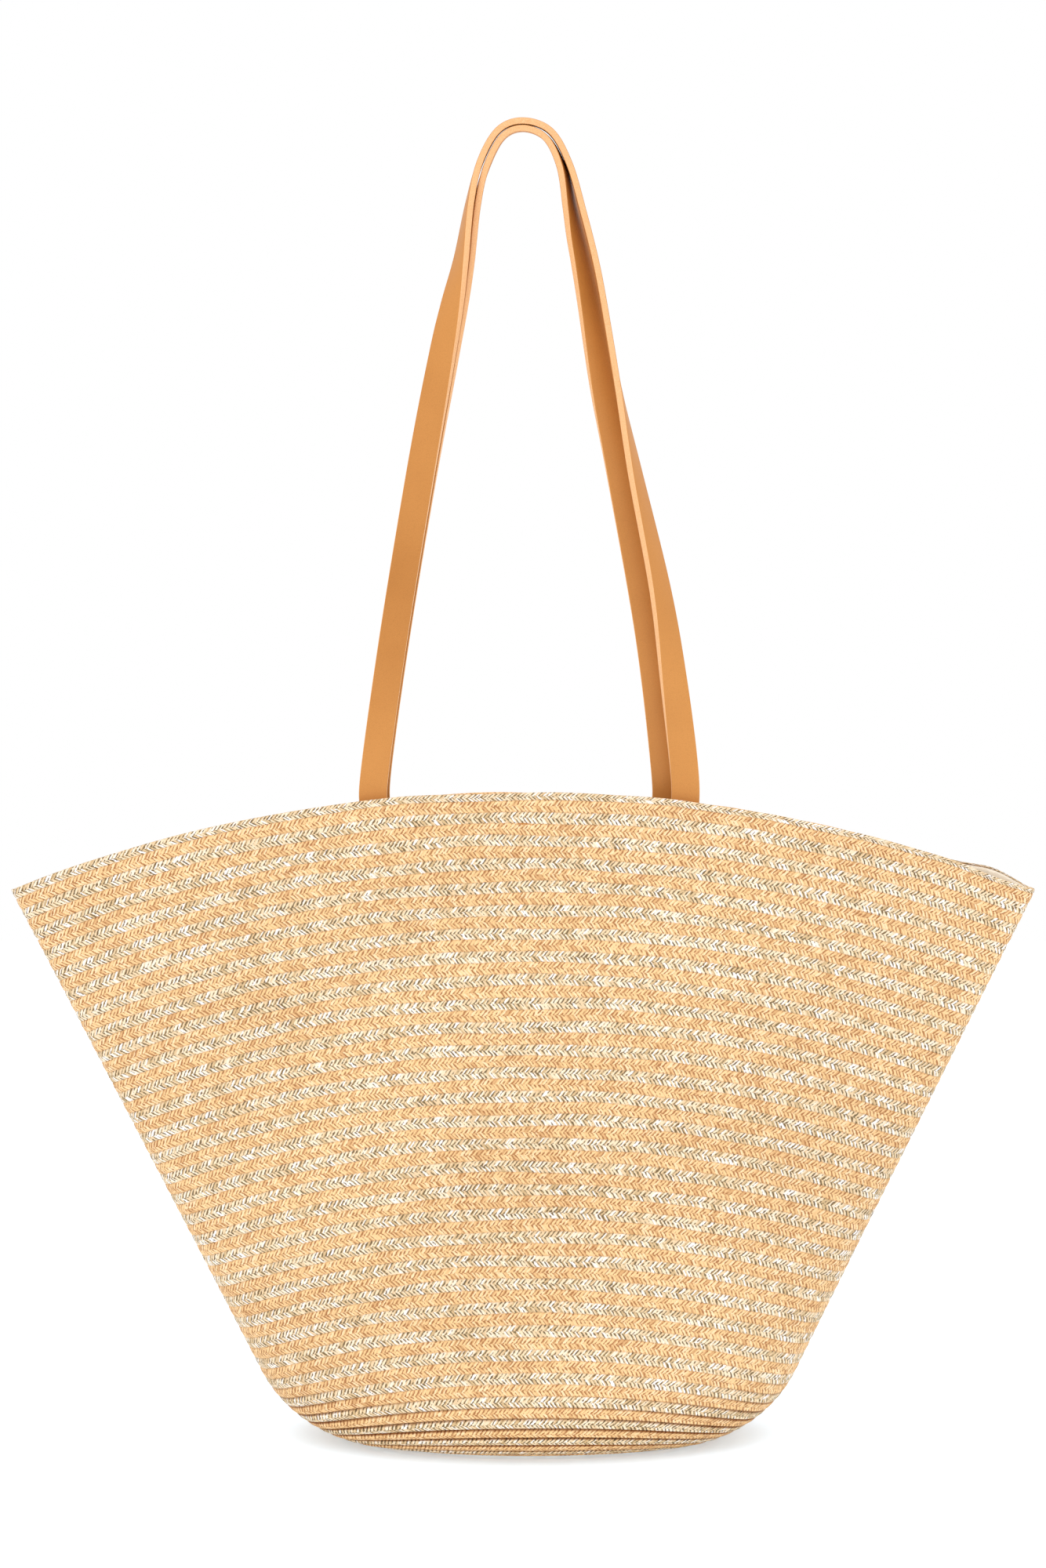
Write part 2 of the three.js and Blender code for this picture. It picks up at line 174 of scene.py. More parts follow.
# Each strap from its left fold over the top to its right fold: across, height and twist.
FRONT_LOOP = [
    (-79, 360.5, 0),
    (-68.6, 434, 0),
    (-54, 521, 8),
    (-42.4, 583, 30),
    (-37.4, 608, 46),
    (-32.6, 632, 68),
    (-27.9, 662, 84),
    (-22.5, 683, 90),
    (-13, 699.5, 90),
    (0, 704.35, 90),
    (14.5, 699, 90),
    (24.3, 682, 90),
    (31.6, 657, 90),
    (38.0, 632, 90),
    (42.7, 608, 90),
    (50.2, 565, 88),
    (59.1, 521, 70),
    (72.6, 459, 50),
    (80, 410, 26),
    (86, 360.5, 0),
]
BACK_LOOP = [
    (-78, 360.5, 0),
    (-67.6, 434, 0),
    (-52.8, 521, 8),
    (-40.6, 583, 30),
    (-35, 608, 46),
    (-29.4, 632, 68),
    (-24.5, 660, 84),
    (-19.3, 680, 90),
    (-10.9, 695.9, 90),
    (0, 700.55, 90),
    (12, 695.6, 88),
    (20, 681, 82),
    (24.8, 660, 68),
    (28.0, 645, 56),
    (31.3, 630, 48),
    (35.5, 608, 38),
    (42.8, 565, 21),
    (51.6, 521, 6),
    (67.2, 434, 0),
    (76, 360.5, 0),
]


def smooth(t):
    return t * t * (3 - 2 * t)


def mix(a, b, t):
    return a + (b - a) * t


class RisingPath:
    """A flat stretch, a rounding, then a straight rise to an end point."""

    def __init__(self, flat, radius, out, up):
        self.flat, self.radius = flat, radius
        across, above = out - flat, up - radius
        reach = math.hypot(across, above)
        self.turn = math.atan2(above, across) + math.asin(radius / reach)
        self.arc = radius * self.turn
        self.length = flat + self.arc + math.sqrt(reach**2 - radius**2)

    def at(self, distance, inset):
        angle = np.clip((distance - self.flat) / self.radius, 0, self.turn)
        beyond = np.maximum(distance - self.flat - self.arc, 0)
        size = self.radius - inset
        out = np.minimum(distance, self.flat) + size * np.sin(angle) + beyond * np.cos(angle)
        up = self.radius - size * np.cos(angle) + beyond * np.sin(angle)
        return out, up


front_path = RisingPath(BASE_HALF_DEPTH, BELLY_RADIUS, RIM_HALF_DEPTH, RIM_HEIGHT)
side_path = RisingPath(BASE_HALF_WIDTH, SIDE_RADIUS, RIM_HALF_WIDTH, RIM_SIDE_HEIGHT)
ROW = front_path.length / ROWS_UP_FRONT
CENTRE_LINE_HALF = side_path.length - front_path.length


def waves(wave_list, across, height):
    return sum(
        size * np.sin(across / along + height / up + phase)
        for size, along, up, phase in wave_list
    )


def wall(row, angle, inset):
    """Points of the wall in millimetres, from rows above the base's centre line and angles."""
    row, angle, inset = np.broadcast_arrays(np.float64(row), angle, inset)
    front_out, front_up = front_path.at(row * ROW, inset)
    side_out, side_up = side_path.at(CENTRE_LINE_HALF + row * ROW, inset)
    climb = np.clip((row - WALL_STARTS_AT) / (ROWS_UP_FRONT - WALL_STARTS_AT), 0, 1)
    across, facing = np.sin(angle), np.cos(angle)
    fold = mix(LOW_FOLD_RADIUS, RIM_FOLD_RADIUS, climb) - inset
    fold = np.minimum(np.maximum(fold, TIGHTEST_FOLD), front_out)
    from_fold = np.clip(side_out * (1 - np.abs(across)) / np.maximum(fold, 1e-6), 0, 1)
    bulge = MOUTH_BULGE * smooth(np.clip(1 - (ROWS_UP_FRONT - row) / BULGE_ROWS, 0, 1))
    depth = fold * np.sqrt(1 - (1 - from_fold) ** 2)
    depth += (front_out - fold) * np.abs(facing) ** mix(ROUND_POWER, LENS_POWER, climb)
    depth += bulge * BULGE_TO_ONE * across**2 * facing**4
    x = side_out * across + BASE_SHIFT * (1 - np.clip(row / ROWS_UP_FRONT, 0, 1))
    dip = 1 - np.abs(across) ** RIM_DIP_POWER
    z = mix(side_up, front_up, dip)
    below = ROWS_UP_FRONT - row
    corner = np.clip(1 - below / LIP_ROWS, 0, 1) * np.exp(-(((x - LIP_AT) / LIP_WIDTH) ** 2))
    back_dip = BACK_DIP * depth * np.clip(1 - below / BACK_DIP_ROWS, 0, 1)
    z -= np.where(facing > 0, LIP_DROP * corner, back_dip - CORNER_RISE * corner)
    side = np.where(facing > 0, -1.0, 1.0)
    slack = np.sin(np.pi * climb) * facing**2
    depth += slack * waves(SAG_WAVES, x, z * side)
    growth = smooth(np.clip(climb * WAVER_GROWTH, 0, 1))
    z += growth * waves(WAVER_WAVES, x, z + FRONT_TO_BACK * side) * facing**2
    return np.stack([x, side * depth, z], axis=-1)


def wall_across(row, x, face, inset):
    """The same at a distance across the bag, on the front (-1) or the back (1).

    The distance is taken before the base's shift.
    """
    side_out, _ = side_path.at(CENTRE_LINE_HALF + row * ROW, inset)
    angle = np.arcsin(x / side_out)
    return wall(row, angle if face < 0 else math.pi - angle, inset)


# ---- meshes ----


def distance_along(line):
    """The distance from a line's first point to each of its points."""
    steps = np.linalg.norm(np.diff(line, axis=0), axis=1)
    return np.concatenate([[0], np.cumsum(steps)])


def grid_faces(along, across, ring_along=False, ring_across=False):
    """Quads over a grid of points, closed into a ring in either direction."""
    i = np.arange(along if ring_along else along - 1)
    j = np.arange(across if ring_across else across - 1)
    i, j = np.meshgrid(i, j, indexing="ij")
    i_next, j_next = (i + 1) % along, (j + 1) % across
    corners = [i * across + j, i_next * across + j, i_next * across + j_next, i * across + j_next]
    return np.stack(corners, axis=-1).reshape(-1, 4)


def mesh_object(name, points, faces, uv=None):
    """A smooth-shaded object from points in millimetres; uv holds one pair per point."""
    mesh = bpy.data.meshes.new(name)
    mesh.vertices.add(len(points))
    mesh.vertices.foreach_set("co", (np.asarray(points) * MM).ravel())
    mesh.loops.add(faces.size)
    mesh.loops.foreach_set("vertex_index", faces.ravel())
    mesh.polygons.add(len(faces))
    mesh.polygons.foreach_set("loop_start", np.arange(0, faces.size, faces.shape[1]))
    mesh.polygons.foreach_set("use_smooth", np.ones(len(faces), bool))
    if uv is not None:
        layer = mesh.uv_layers.new(name="pattern")
        layer.uv.foreach_set("vector", np.asarray(uv)[faces.ravel()].ravel())
    mesh.update(calc_edges=True)
    mesh.validate()
    obj = bpy.data.objects.new(name, mesh)
    bpy.context.scene.collection.objects.link(obj)
    return obj


def finish_piece(obj, material, body="bag"):
    obj.data.materials.append(material)
    if body:
        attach(obj, body)
    return obj


# ---- material building ----


class Nodes:
    """Adds nodes to a material, each with its inputs by name or number."""

    def __init__(self, name):
        self.material = bpy.data.materials.new(name)
        self.material.use_nodes = True
        self.tree = self.material.node_tree
        self.shader = self.tree.nodes["Principled BSDF"]

    def add(self, kind, inputs=(), **settings):
        node = self.tree.nodes.new("ShaderNode" + kind)
        for key, value in settings.items():
            setattr(node, key, value)
        for key, value in dict(inputs).items():
            self.put(node.inputs[key], value)
        return node

    def put(self, socket, value):
        if isinstance(value, bpy.types.NodeSocket):
            self.tree.links.new(value, socket)
        else:
            socket.default_value = value

    def math(self, operation, *values):
        return self.add("Math", enumerate(values), operation=operation).outputs[0]

    def blend(self, factor, a, b, mode="MIX"):
        node = self.add("Mix", data_type="RGBA", blend_type=mode)
        for key, value in (("Factor_Float", factor), ("A_Color", a), ("B_Color", b)):
            socket = next(s for s in node.inputs if s.identifier == key)
            self.put(socket, value)
        return next(s for s in node.outputs if s.identifier == "Result_Color")

    def ramp(self, value, stops, constant=False):
        node = self.add("ValToRGB", {"Fac": value})
        ramp = node.color_ramp
        ramp.interpolation = "CONSTANT" if constant else "LINEAR"
        while len(ramp.elements) < len(stops):
            ramp.elements.new(1.0)
        for element, (place, colour) in zip(ramp.elements, stops):
            element.position = place
            element.color = colour
        return node.outputs["Color"]

    def pattern_uv(self):
        uv = self.add("UVMap", uv_map="pattern").outputs[0]
        parts = self.add("SeparateXYZ", {0: uv})
        return parts.outputs[0], parts.outputs[1]

    def place(self):
        return self.add("TexCoord").outputs["Object"]

    def noise(self, vector, scale, detail=2.0, roughness=0.5):
        inputs = {"Vector": vector, "Scale": scale, "Detail": detail, "Roughness": roughness}
        return self.add("TexNoise", inputs).outputs[0]

    def bump(self, height, strength, distance_mm, under=None):
        inputs = {"Height": height, "Strength": strength, "Distance": distance_mm * MM}
        if under is not None:
            inputs["Normal"] = under
        return self.add("Bump", inputs).outputs[0]

    def surface(self, **inputs):
        for key, value in inputs.items():
            self.put(self.shader.inputs[key.replace("_", " ")], value)
        return self.material


def rgb(red, green, blue):
    return (red, green, blue, 1.0)


def straw_material(name, strand_colours, gap_shade_colour, shine_stops):
    """Plaited straw: chevrons of slanting strands, each strand with a colour of its own."""
    m = Nodes(name)
    along, across = m.pattern_uv()
    near_ridge = m.math("MULTIPLY", m.math("PINGPONG", across, 0.5), 2)
    half = m.math("FLOOR", m.math("MULTIPLY", across, 2))
    phase = m.math("MULTIPLY_ADD", near_ridge, CHEVRON_LEAN, along)
    phase = m.math("MULTIPLY_ADD", half, 0.5, phase)
    straw = m.math("FLOOR", m.math("MULTIPLY", phase, STRAWS_PER_STRAND))
    identity = m.add("CombineXYZ", {0: straw, 1: half}).outputs[0]
    chance = m.add("TexWhiteNoise", {"Vector": identity}, noise_dimensions="2D").outputs[0]
    colour = m.ramp(chance, strand_colours, constant=True)

    # Each strand is rounded, with painted shade in the gap beside it, which specks make ragged.
    specks = m.noise(m.place(), 620.0, 1.0)
    from_middle = m.math("ABSOLUTE", m.math("SUBTRACT", m.math("FRACT", phase), 0.5))
    from_middle_power = m.math("POWER", m.math("MULTIPLY", from_middle, 2), 2.5)
    strand_round = m.math("SUBTRACT", 1.0, from_middle_power)
    gap = m.math("MULTIPLY_ADD", near_ridge, 0.08, from_middle)
    gap = m.math("MULTIPLY_ADD", m.math("SUBTRACT", specks, 0.5), 1.0, gap)
    gap_shade_mask = m.ramp(gap, [(0.35, rgb(0, 0, 0)), (0.48, rgb(1, 1, 1))])
    colour = m.blend(gap_shade_mask, colour, gap_shade_colour)

    fibre_place = m.add("CombineXYZ", {0: m.math("MULTIPLY", phase, 7), 1: across}).outputs[0]
    fibre = m.noise(fibre_place, 2.0)
    streaks = m.ramp(fibre, [(0.3, rgb(0.88, 0.86, 0.83)), (0.7, rgb(1.06, 1.06, 1.06))])
    drift = m.noise(m.place(), 9.0)
    patches = m.ramp(drift, [(0.3, rgb(0.95, 0.93, 0.90)), (0.7, rgb(1.03, 1.03, 1.03))])
    colour = m.blend(1.0, colour, streaks, "MULTIPLY")
    colour = m.blend(1.0, colour, patches, "MULTIPLY")

    # Painted shade: the creases between rows are darker, and more so in the low rows that face the
    # floor.
    row_edge = m.math("SUBTRACT", 1.0, near_ridge)
    height = m.add("SeparateXYZ", {0: m.place()}).outputs[2]
    low_rows = {0: height, 1: 40 * MM, 2: 16 * MM}
    low_rows_shade_share = m.add("MapRange", low_rows).outputs[0]
    crease_shade_colour = m.blend(low_rows_shade_share, rgb(0.97, 0.95, 0.92), rgb(0.34, 0.18, 0.08))
    row_edge = m.math("MULTIPLY_ADD", low_rows_shade_share, 0.13, row_edge)
    crease_shade_mask = m.ramp(row_edge, [(0.70, rgb(0, 0, 0)), (0.95, rgb(1, 1, 1))])
    crease_shade = m.blend(crease_shade_mask, rgb(1, 1, 1), crease_shade_colour)
    # Painted shade: the low rows that face the floor are tinted darker and browner all over.
    low_rows_shade = m.blend(low_rows_shade_share, rgb(1, 1, 1), rgb(1, 0.98, 0.92))
    colour = m.blend(1.0, colour, crease_shade, "MULTIPLY")
    colour = m.blend(1.0, colour, low_rows_shade, "MULTIPLY")

    shine = m.ramp(chance, shine_stops, constant=True)
    relief = m.bump(strand_round, 0.7, 0.3)
    relief = m.bump(fibre, 0.25, 0.1, under=relief)
    return m.surface(Base_Color=colour, Roughness=shine, Normal=relief, Specular_IOR_Level=0.3)


def tan_straw():
    colours = [
        (0.0, rgb(0.70, 0.40, 0.18)),
        (0.15, rgb(0.86, 0.55, 0.27)),
        (0.45, rgb(0.94, 0.62, 0.32)),
        (0.80, rgb(0.98, 0.70, 0.42)),
    ]
    # The gap colour is painted shade between the strands.
    gap = rgb(0.44, 0.19, 0.07)
    return straw_material("tan_straw", colours, gap, [(0.0, rgb(0.75, 0.75, 0.75))] * 2)


def light_straw():
    colours = [
        (0.0, rgb(0.66, 0.46, 0.25)),
        (0.18, rgb(0.83, 0.61, 0.38)),
        (0.45, rgb(0.92, 0.73, 0.51)),
        (0.72, rgb(0.96, 0.81, 0.65)),
        (0.88, rgb(1.0, 0.92, 0.88)),
    ]
    shine = [(0.0, rgb(0.75, 0.75, 0.75)), (0.86, rgb(0.3, 0.3, 0.3))]
    # The dark colour passed here is painted shade in the gaps between strands.
    return straw_material("light_straw", colours, rgb(0.20, 0.13, 0.06), shine)


def leather():
    """Smooth tanned leather; the cut edges, past 0.5 across, are paler."""
    m = Nodes("leather")
    _, edge = m.pattern_uv()
    place = m.place()
    cloud = m.noise(place, 6.0, 4.0)
    face = m.ramp(cloud, [(0.3, rgb(0.45, 0.165, 0.028)), (0.7, rgb(0.64, 0.27, 0.065))])
    grain = m.add("TexVoronoi", {"Vector": place, "Scale": 1400.0}, feature="DISTANCE_TO_EDGE")
    pores = m.noise(place, 2600.0)
    grain_shade = m.ramp(grain.outputs[0], [(0.0, rgb(0.9, 0.88, 0.85)), (0.2, rgb(1, 1, 1))])
    face = m.blend(1.0, face, grain_shade, "MULTIPLY")
    cut = m.ramp(pores, [(0.35, rgb(0.74, 0.37, 0.15)), (0.65, rgb(0.86, 0.48, 0.23))])
    is_edge = m.ramp(edge, [(0.35, rgb(0, 0, 0)), (0.6, rgb(1, 1, 1))])
    colour = m.blend(is_edge, face, cut)
    roughness = m.ramp(cloud, [(0.3, rgb(0.42, 0.42, 0.42)), (0.7, rgb(0.56, 0.56, 0.56))])
    relief = m.bump(grain.outputs[0], 0.25, 0.12)
    relief = m.bump(pores, 0.12, 0.05, under=relief)
    return m.surface(
        Base_Color=colour, Roughness=roughness, Normal=relief, Specular_IOR_Level=0.3
    )


def cotton():
    """Plain weave, with its two threads read from the pattern coordinates in millimetres."""
    m = Nodes("cotton")
    along, across = m.pattern_uv()
    warp = m.math("SINE", m.math("MULTIPLY", along, TURN / THREAD_PITCH))
    weft = m.math("SINE", m.math("MULTIPLY", across, TURN / THREAD_PITCH))
    weave = m.math("MULTIPLY", warp, weft)
    weave = m.math("MULTIPLY_ADD", weave, 0.5, 0.5)
    cloud = m.noise(m.place(), 22.0, 3.0)
    base = m.ramp(cloud, [(0.3, rgb(0.88, 0.77, 0.63)), (0.7, rgb(0.94, 0.85, 0.73))])
    threads = m.ramp(weave, [(0.0, rgb(0.88, 0.86, 0.82)), (0.6, rgb(1, 1, 1))])
    slubs = m.noise(m.place(), 420.0)
    slub_shade = m.ramp(slubs, [(0.35, rgb(0.95, 0.93, 0.9)), (0.6, rgb(1, 1, 1))])
    colour = m.blend(1.0, base, threads, "MULTIPLY")
    colour = m.blend(1.0, colour, slub_shade, "MULTIPLY")
    relief = m.bump(weave, 0.3, 0.15)
    return m.surface(Base_Color=colour, Roughness=0.92, Normal=relief, Sheen_Weight=0.15)


def thread():
    m = Nodes("thread")
    place = m.place()
    twist = m.add("TexWave", {"Vector": place, "Scale": 900.0, "Distortion": 1.0})
    shade = m.ramp(twist.outputs[1], [(0.2, rgb(0.48, 0.26, 0.10)), (0.8, rgb(0.70, 0.43, 0.20))])
    relief = m.bump(twist.outputs[1], 0.4, 0.1)
    return m.surface(Base_Color=shade, Roughness=0.6, Normal=relief)


def gold():
    m = Nodes("gold_metal")
    brushed = m.noise(m.place(), 900.0, 2.0)
    roughness = m.ramp(brushed, [(0.3, rgb(0.2, 0.2, 0.2)), (0.7, rgb(0.34, 0.34, 0.34))])
    tone = m.ramp(brushed, [(0.3, rgb(0.70, 0.50, 0.24)), (0.7, rgb(0.80, 0.61, 0.32))])
    relief = m.bump(brushed, 0.08, 0.02)
    return m.surface(Base_Color=tone, Metallic=1.0, Roughness=roughness, Normal=relief)


def floor_paint():
    m = Nodes("floor")
    mottle = m.noise(m.place(), 3.0)
    # Painted light: the floor glows faintly to lift the bag's shadow on it, and its blue tint
    # cancels the warm light bounced from the bag into that shadow.
    tone = m.ramp(mottle, [(0.3, rgb(0.79, 0.87, 0.95)), (0.7, rgb(0.80, 0.88, 0.96))])
    shadow_lifting_glow = {"Emission_Color": rgb(0.84, 0.93, 1.0), "Emission_Strength": 0.40}
    return m.surface(Base_Color=tone, Roughness=0.9, Specular_IOR_Level=0.1, **shadow_lifting_glow)


# ---- braids ----


def spiral_row(angle):
    """The row that the spiral's lower edge has reached, counted from its start."""
    return (angle - BACK_CLIMB * np.sin(angle)) / math.pi


def braid_angles(start_row):
    """Angles along a whole braid at even steps, and the distance at each in strands."""
    coarse = np.linspace(-TURN, BRAID_TURNS * TURN, BRAID_TURNS * SAMPLES_PER_TURN)
    middle_row = np.clip(spiral_row(coarse) + start_row + 0.5, 0, ROWS_UP_FRONT)
    gone = distance_along(wall(middle_row, coarse, 0.0))
    step = PLAIT_PITCH / STEPS_PER_STRAND
    even = np.arange(0, gone[-1], step)
    return np.interp(even, gone, coarse), even / PLAIT_PITCH


def braid_piece(name, start_row, from_turn, to_turn, closed):
    """One length of braid: rounded rows with the plait's relief. Closed means with a back."""
    angles, strands = braid_angles(start_row)
    low = np.maximum(spiral_row(angles) + start_row, 0)
    high = np.minimum(spiral_row(angles) + start_row + 1, ROWS_UP_FRONT)
    wide = high - low > THINNEST_ROW
    first, last = np.searchsorted(angles, [from_turn * TURN, to_turn * TURN])
    keep = np.flatnonzero(wide & (np.arange(len(angles)) >= first))
    keep = keep[keep <= last]
    angles, strands, low, high = (a[keep, None] for a in (angles, strands, low, high))
    across, depth = (np.array(part)[None, :] for part in zip(*ROW_SECTION))

    lean = (0.5 - np.abs(across - 0.5)) * 2 * CHEVRON_LEAN
    lobes = 0.5 + 0.5 * np.cos(TURN * (strands + lean))
    row = mix(low, high, across)
    round_until, flat_from = DEEP_CREASE_ROWS
    flatter = np.clip((row - round_until) / (flat_from - round_until), 0, 1)
    rounding = mix(LOW_ROW_ROUNDING, HIGH_ROW_ROUNDING, flatter)
    depth = np.where(depth < BACK_OF_ROW, depth * rounding, depth)
    front = np.clip(RELIEF_ENDS - depth, 0, 1)
    inset = depth + PLAIT_RELIEF * lobes * front
    points = wall(row, angles, inset)
    uv = np.stack(np.broadcast_arrays(strands, across), axis=-1)
    faces = grid_faces(len(keep), len(ROW_SECTION), ring_across=closed)
    return mesh_object(name, points.reshape(-1, 3), faces, uv.reshape(-1, 2))


def make_braids():
    for name, start_row, material, slot in (
        ("tan_braid", 0, tan_straw(), "tan_straw"),
        ("light_braid", 1, light_straw(), "light_straw"),
    ):
        from_turn = -1.0
        for place, to_turn in LENGTHS:
            node = f"{place}_{name}"
            closed = place == "rim"
            piece = braid_piece(f"plaited_{node}", start_row, from_turn, to_turn, closed)
            finish_piece(piece, material)
            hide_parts(node)
            from_turn = to_turn


# ---- lining and pocket ----


def ring_angles():
    even = np.linspace(0, TURN, RING_POINTS, endpoint=False)
    return even - CROWDING * np.sin(4 * even)


def lining_wrinkle(row, angle):
    """How far the cotton stands in from the wall, in millimetres."""
    climb = np.clip((row - 6) / 10, 0, 1) * np.clip((ROWS_UP_FRONT - 4 - row) / 8, 0, 1)
    wrinkles = np.sin(9 * angle + row / 7) + np.sin(14 * angle - row / 5 + 1)
    wrinkles = wrinkles + np.sin(row / 3 + 4 * angle)
    return climb * WRINKLE_DEPTH * (wrinkles + 1.2)


def make_lining():
    top = ROWS_UP_FRONT - LINING_BELOW_RIM
    # The last rows lie close together, to shape the hem.
    rows = np.concatenate([np.linspace(0.05, top - 1.5, 76), np.linspace(top - 1.4, top, 7)])
    angles = ring_angles()[None, :]
    outer = [wall(row, angles, LINING_INSET) for row in rows]
    inner = []
    for row in rows:
        hem = LINING_HEM * np.clip((row - top + 1.35) * 8, 0, 1)
        thickness = LINING_THICKNESS - 0.3 + hem
        shift = lining_wrinkle(row, angles)
        inner.append(wall(row, angles, LINING_INSET + thickness + shift))
    sheet = np.concatenate(outer + inner[::-1])
    around = angles * 180.0
    heights = np.concatenate([rows, rows[::-1]])[:, None] * ROW
    uv = np.stack(np.broadcast_arrays(around, heights), axis=-1)
    faces = grid_faces(len(sheet), RING_POINTS, ring_across=True)[:, ::-1]
    piece = mesh_object("cotton_lining", sheet.reshape(-1, 3), faces, uv.reshape(-1, 2))
    finish_piece(piece, COTTON)
    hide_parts("lining")


def make_pocket():
    low, high = POCKET_ROWS
    # Here too, the last rows are for the hem.
    rows = np.concatenate([np.linspace(low, high - 2.2, 22), np.linspace(high - 2.1, high, 8)])
    across = np.linspace(-POCKET_HALF_WIDTH, POCKET_HALF_WIDTH, 61)
    far, near = [], []
    for row in rows:
        share = (row - low) / (high - low)
        slack = POCKET_SLACK * smooth(share) * np.cos(np.pi * across / (2 * POCKET_HALF_WIDTH)) ** 2
        hem = POCKET_HEM if row > high - 2.05 else 0.0
        base = POCKET_INSET + slack * 0.6
        far.append(wall_across(row, across, 1, base))
        near.append(wall_across(row, across, 1, base + LINING_THICKNESS - 0.2 + hem))
    sheet = np.array(far + near[::-1])
    heights = np.concatenate([rows, rows[::-1]])[:, None] * ROW
    uv = np.stack(np.broadcast_arrays(across[None, :], heights), axis=-1)
    faces = grid_faces(len(sheet), len(across), ring_along=True)
    piece = mesh_object("cotton_pocket", sheet.reshape(-1, 3), faces, uv.reshape(-1, 2))
    count = len(across)
    for side in (0, count - 1):
        near_side = [(2 * len(rows) - 1 - i) * count + side for i in range(len(rows))]
        far_side = [i * count + side for i in range(len(rows))]
        strips = zip(far_side, far_side[1:], near_side[1:], near_side)
        close_ends(piece, [list(strip) for strip in strips])
    finish_piece(piece, COTTON)
    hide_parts("slip_pocket")


# ---- stitches ----


def rod(start, end, radius, sides=6):
    """Points and faces of a stitch: a short rod with rounded ends."""
    start, end = np.asarray(start, float), np.asarray(end, float)
    along = end - start
    length = np.linalg.norm(along)
    along /= length
    helper = np.array([0, 0, 1.0]) if abs(along[2]) < 0.9 else np.array([1.0, 0, 0])
    u = np.cross(along, helper)
    u /= np.linalg.norm(u)
    v = np.cross(along, u)
    turn = np.linspace(0, TURN, sides, endpoint=False)[None, :, None]
    spots = [(0.0, 0.2), (0.12, 0.8), (0.5, 1.0), (0.88, 0.8), (1.0, 0.2)]
    rings = [
        start + along * length * share + radius * size * (np.cos(turn) * u + np.sin(turn) * v)
        for share, size in spots
    ]
    points = np.concatenate(rings).reshape(-1, 3)
    faces = grid_faces(len(spots), sides, ring_across=True)
    return points, faces


def stitches(name, segments, radius, node):
    """One piece of thread: a rod from each segment's start to its end."""
    points, faces, count = [], [], 0
    for start, end in segments:
        p, f = rod(start, end, radius)
        points.append(p)
        faces.append(f + count)
        count += len(p)
    piece = mesh_object(name, np.concatenate(points), np.concatenate(faces))
    finish_piece(piece, THREAD)
    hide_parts(node)


def make_seam():
    row = ROWS_UP_FRONT - SEAM_BELOW_RIM
    fine = np.linspace(0, TURN, SEAM_SAMPLES, endpoint=False)
    line = wall(row, fine, LINING_INSET + LINING_THICKNESS + SEAM_PROUD)
    gone = distance_along(line)
    segments = []
    for start in np.arange(0, gone[-1] - SEAM_PITCH, SEAM_PITCH):
        i, j = np.searchsorted(gone, [start, start + SEAM_STITCH])
        segments.append((line[i], line[j]))
    stitches("seam_stitches", segments, SEAM_RADIUS, "lining_seam")


def make_strap_stitching(side, hand):
    """Stitches over the four sides of a box and its two diagonals."""
    node = f"{side}_{hand}_stitching"
    low, high = (np.array(corner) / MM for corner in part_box(node))
    flip = 1 if side == "back" else -1
    lean = (high[1] - low[1] - STITCHING_THICKNESS) * flip
    middle = (low + high) / 2

    def spot(u, v):
        x = middle[0] + u * (high[0] - low[0]) / 2
        y = middle[1] - v * lean / 2
        return np.array([x, y, middle[2] + v * (high[2] - low[2]) / 2])

    corners = [(-1, -1), (1, -1), (1, 1), (-1, 1)]
    runs = [(corners[i], corners[(i + 1) % 4]) for i in range(4)]
    runs += [(corners[0], corners[2]), (corners[1], corners[3])]
    segments = []
    for start, end in runs:
        a, b = spot(*start), spot(*end)
        count = max(2, round(np.linalg.norm(b - a) / BOX_STITCH_PITCH))
        for k in range(count):
            segments.append([mix(a, b, (k + end) / count) for end in BOX_STITCH_ENDS])
    stitches(f"{side}_{hand}_box_stitches", segments, BOX_STITCH_RADIUS, node)


# ---- straps ----


def through(points, steps):
    """A smooth curve through points, sampled evenly between them (uniform Catmull-Rom)."""
    points = np.asarray(points, float)
    extended = np.array([2 * points[0] - points[1], *points, 2 * points[-1] - points[-2]])
    share = np.linspace(0, len(points) - 1, steps)
    i = np.minimum(share.astype(int), len(points) - 2)
    t = (share - i)[:, None]
    a, b, c, d = (extended[i + k] for k in range(4))
    m0, m1 = (c - a) / 2, (d - b) / 2
    return b + m0 * t + (3 * (c - b) - 2 * m0 - m1) * t**2 + (2 * (b - c) + m0 + m1) * t**3


def strap_section():
    """The strap's rounded section: place across and through, and how much of it is cut edge."""
    w, d = STRAP_WIDTH / 2, STRAP_THICKNESS / 2
    points, edges = [], []
    for sx, sy in ((1, -1), (1, 1), (-1, 1), (-1, -1)):
        for k in range(4):
            turn = math.radians(30 * k)
            if sx != sy:
                turn = math.radians(90) - turn
            out, up = math.cos(turn), math.sin(turn)
            x = sx * (w - STRAP_CORNER + STRAP_CORNER * out)
            y = sy * (d - STRAP_CORNER + STRAP_CORNER * up)
            points.append((x, y))
            edges.append(1.0 if out > math.sin(TURN / 8) else 0.0)
    return points, edges


def sewn_end(face, x):
    """The strap's way up inside the wall: across, depth, height and twist."""
    inset = wall_across(ROWS_UP_FRONT, x, face, 0.0)[1] * face - STRAP_DEPTH
    rows = [ROWS_UP_FRONT - below for below in (SEWN_ROWS, SEWN_ROWS / 2, 1)]
    places = [wall_across(row, x, face, inset) for row in rows]
    return [(x, place[1], place[2], 0) for place in places]


